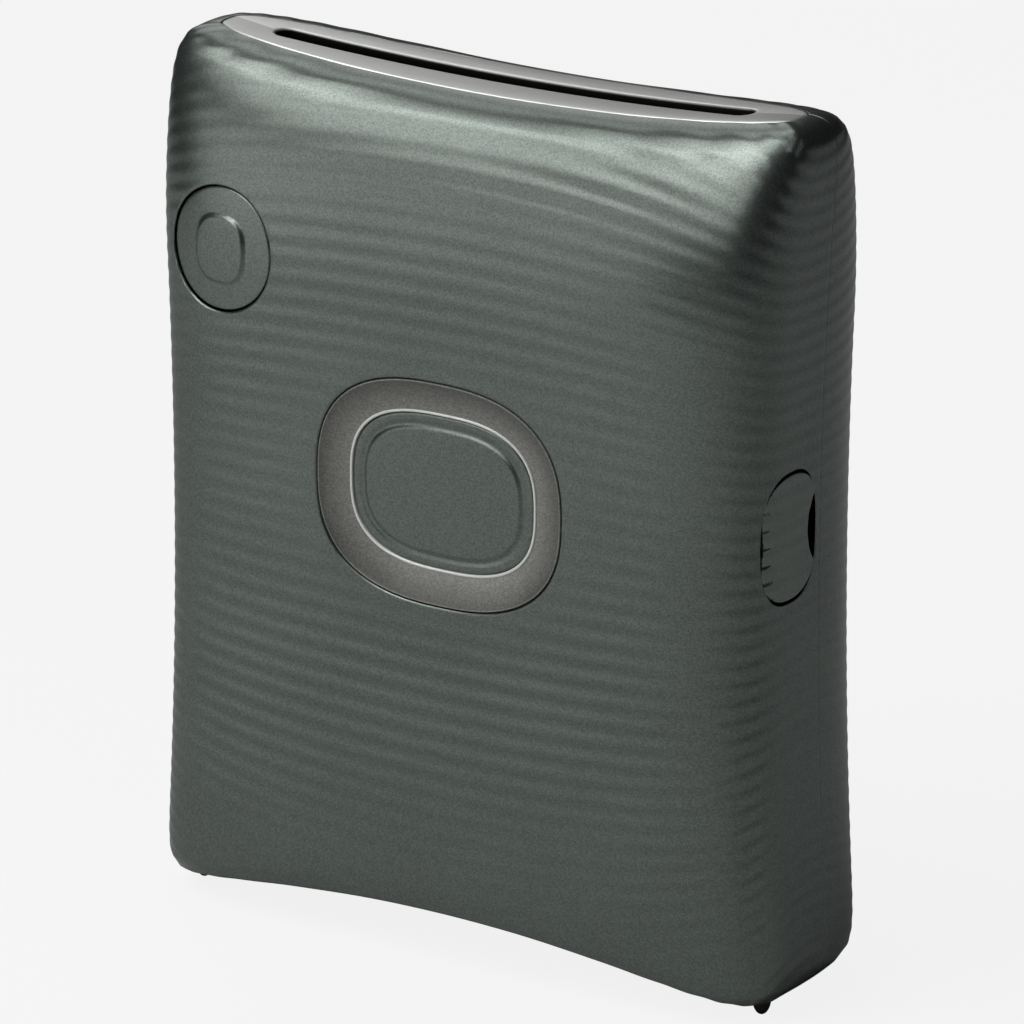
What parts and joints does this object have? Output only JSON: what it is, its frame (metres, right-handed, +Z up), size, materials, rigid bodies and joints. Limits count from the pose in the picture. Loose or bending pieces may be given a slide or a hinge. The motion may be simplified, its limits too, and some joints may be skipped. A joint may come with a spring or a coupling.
{
  "type": "compact photo printer",
  "caption": "Pillow-shaped pocket photo printer with film slot in its top trim, oval light ring round a power button, side port cover and hinged rear film door.",
  "frame": {"origin": "centre of the printer's footprint, on the table under its feet", "axes": "+X to the right as seen from the front, -Y out of the front face, +Z up to the film slot"},
  "size_m": [0.0966, 0.041, 0.1192],
  "materials": {
    "case_paint": "satin metallic dark grey-green, fine speckle, soft ripples",
    "trim_satin": "satin pale silver grey",
    "ring_diffuser": "smoked translucent grey-brown with a metallic fleck",
    "bright_metal": "bright",
    "steel": "satin",
    "window_clear": "tinted clear",
    "dark_plastic": "matte",
    "foot_rubber": "matte",
    "sheet_metal": "brushed",
    "roller_rubber": "matte",
    "gear_plastic": "natural white",
    "motor_case": "plated",
    "brass": "machined",
    "board_green": "solder mask",
    "chip_black": "matte",
    "battery_wrap": "foil wrap",
    "board_white": "white solder mask",
    "lamp_white": "lamp body",
    "switch_metal": "stamped"
  },
  "bodies": {
    "housing": {"front_shell": "case_paint", "rear_shell": "case_paint", "top_trim": "trim_satin", "light_ring": "ring_diffuser", "bright_rim": "bright_metal", "port_pin": "steel", "door_pin_left": "steel", "door_pin_right": "steel", "foot_front_left": "foot_rubber", "foot_front_right": "foot_rubber", "foot_rear_left": "foot_rubber", "foot_rear_right": "foot_rubber", "chassis": "dark_plastic", "roller_bracket": "sheet_metal", "idler_pin": "steel", "motor": "motor_case", "exposure_head": "dark_plastic", "main_board": "board_green", "board_chips": "chip_black", "usb_socket": "sheet_metal", "battery": "battery_wrap", "light_board": "board_white", "ring_lamps": "lamp_white", "power_switch": "switch_metal", "function_board": "board_green", "function_switch": "switch_metal", "case_screws": "steel", "frame_screws": "steel", "board_screws": "steel", "bracket_screws": "steel"},
    "power_key": {"power_button": "case_paint"},
    "function_key": {"function_button": "case_paint"},
    "port_flap": {"port_cover": "case_paint"},
    "door": {"film_door": "case_paint", "film_window": "window_clear", "pressure_spring": "steel"},
    "lock": {"door_lock": "dark_plastic"},
    "drive": {"drive_roller": "roller_rubber", "drive_gear": "gear_plastic"},
    "pinch": {"pinch_roller": "roller_rubber", "pinch_gear": "gear_plastic"},
    "idler": {"idler_gear": "gear_plastic"},
    "motor_shaft": {"motor_pinion": "brass"},
    "claw": {"film_claw": "steel"}
  },
  "joints": [
    {"name": "power_press", "type": "slide", "parent": "housing", "child": "power_key", "axis": [0, 1, 0], "range_m": [0, 0.0006], "stiffness_N_per_m": 500},
    {"name": "function_press", "type": "slide", "parent": "housing", "child": "function_key", "axis": [0, 1, 0], "range_m": [0, 0.0006], "stiffness_N_per_m": 500},
    {"name": "port_cover_hinge", "type": "hinge", "parent": "housing", "child": "port_flap", "pos_m": [0.04557, -0.0139, 0.0654], "axis": [0, 0, -1], "range_deg": [0, 100]},
    {"name": "film_door_hinge", "type": "hinge", "parent": "housing", "child": "door", "pos_m": [0, 0.0184, 0.014], "axis": [-1, 0, 0], "range_deg": [0, 90]},
    {"name": "door_lock_slide", "type": "slide", "parent": "door", "child": "lock", "axis": [0, 0, 1], "range_m": [0, 0.0025]},
    {"name": "drive_roller_spin", "type": "hinge", "parent": "housing", "child": "drive", "pos_m": [0, -0.0078, 0.1098], "axis": [1, 0, 0], "continuous": true},
    {"name": "pinch_roller_spin", "type": "hinge", "parent": "housing", "child": "pinch", "pos_m": [0, -0.0002, 0.1098], "axis": [1, 0, 0], "continuous": true},
    {"name": "idler_spin", "type": "hinge", "parent": "housing", "child": "idler", "pos_m": [0.0427, -0.00899, 0.10205], "axis": [1, 0, 0], "continuous": true},
    {"name": "motor_spin", "type": "hinge", "parent": "housing", "child": "motor_shaft", "pos_m": [0.0427, -0.0122, 0.0965], "axis": [1, 0, 0], "continuous": true},
    {"name": "claw_slide", "type": "slide", "parent": "housing", "child": "claw", "axis": [0, 0, 1], "range_m": [0, 0.005], "stiffness_N_per_m": 40}
  ],
  "couplings": [
    {"joint": "pinch_roller_spin", "follows": "drive_roller_spin", "ratio": -1},
    {"joint": "idler_spin", "follows": "drive_roller_spin", "ratio": -0.94118},
    {"joint": "motor_spin", "follows": "drive_roller_spin", "ratio": 1.6}
  ]
}
